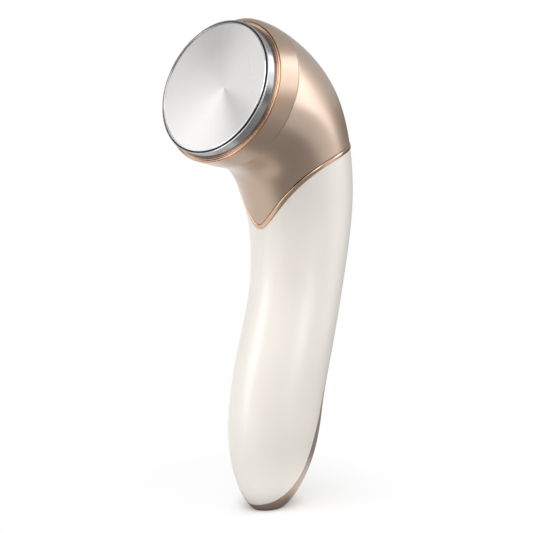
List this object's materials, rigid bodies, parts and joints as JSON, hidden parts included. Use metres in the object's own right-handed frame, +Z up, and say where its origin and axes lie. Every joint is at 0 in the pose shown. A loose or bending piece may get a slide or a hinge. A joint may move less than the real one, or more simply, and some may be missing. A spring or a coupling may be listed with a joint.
{
  "type": "facial beauty wand",
  "caption": "Handheld facial beauty wand: tilted round steel plate in a chrome bezel, bent champagne neck, slanted rose gold band, pearl white handle and champagne rear cover.",
  "frame": {"origin": "centre of the flat foot that the wand stands on", "axes": "+Z up the wand from the foot to the head, -Y the way the round plate looks, +X to the right of a person holding it with the plate turned away from them"},
  "size_m": [0.0534, 0.0741, 0.1796],
  "materials": {
    "steel_plate": "spun satin stainless steel",
    "chrome_plating": "chrome-plated plastic, mirror bright",
    "rose_gold_plating": "rose gold plated plastic, polished",
    "champagne_satin": "champagne metallic paint on plastic, satin",
    "pearl_white": "warm pearl white paint on plastic, satin",
    "black_silicone": "soft matt silicone",
    "clear_lens": "frosted clear acrylic",
    "black_plastic": "moulded, fine texture",
    "white_plastic": "moulded, unpainted",
    "ceramic_white": "ceramic, matt",
    "bare_aluminium": "extruded, plain",
    "screw_steel": "zinc-plated",
    "nickel_strip": "nickel-plated strip",
    "cell_wrap": "metal can in a blue shrink sleeve",
    "board_green": "green solder mask on glass-filled board",
    "ferrite": "dark sintered ferrite",
    "motor_steel": "drawn steel can",
    "dense_weight": "sintered heavy metal",
    "contact_brass": "gold-flashed brass pin",
    "wire_red": "soft insulated wire",
    "wire_black": "soft insulated wire"
  },
  "bodies": {
    "wand": {"face_plate": "steel_plate", "plate_seal": "black_silicone", "chrome_bezel": "chrome_plating", "rose_ring": "rose_gold_plating", "head_collar": "champagne_satin", "plate_carrier": "black_plastic", "peltier_tile": "ceramic_white", "heat_sink": "bare_aluminium", "plate_sensor": "black_plastic", "head_screws": "screw_steel", "neck_shell": "champagne_satin", "trim_band": "rose_gold_plating", "handle_shell": "pearl_white", "rear_cover": "champagne_satin", "chassis": "white_plastic", "chassis_screws": "screw_steel", "battery_cell": "cell_wrap", "battery_tabs": "nickel_strip", "battery_leads": "wire_red", "main_board": "board_green", "board_screws": "screw_steel", "board_chips": "black_plastic", "boost_coil": "ferrite", "head_plug": "white_plastic", "cover_spring": "nickel_strip", "switch_bodies": "black_plastic", "status_lamps": "ceramic_white", "lamp_lenses": "clear_lens", "motor_clip": "black_plastic", "motor_can": "motor_steel", "contact_block": "black_plastic", "charge_contacts": "contact_brass", "charge_leads": "wire_black", "head_leads": "wire_red"},
    "power_key": {"power_button": "rose_gold_plating", "power_switch_stem": "white_plastic"},
    "mode_key": {"mode_button": "rose_gold_plating", "mode_switch_stem": "white_plastic"},
    "rotor": {"motor_shaft": "screw_steel", "motor_weight": "dense_weight"}
  },
  "joints": [
    {"name": "power_press", "type": "slide", "parent": "wand", "child": "power_key", "axis": [0, -0.98, 0.1989], "range_m": [0, 0.0005], "stiffness_N_per_m": 2000, "springref_m": -0.0003},
    {"name": "mode_press", "type": "slide", "parent": "wand", "child": "mode_key", "axis": [0, -0.98, 0.1989], "range_m": [0, 0.0005], "stiffness_N_per_m": 2000, "springref_m": -0.0003},
    {"name": "motor_spin", "type": "hinge", "parent": "wand", "child": "rotor", "pos_m": [0, 0.0191, 0.10802], "axis": [1, 0, 0], "continuous": true}
  ]
}
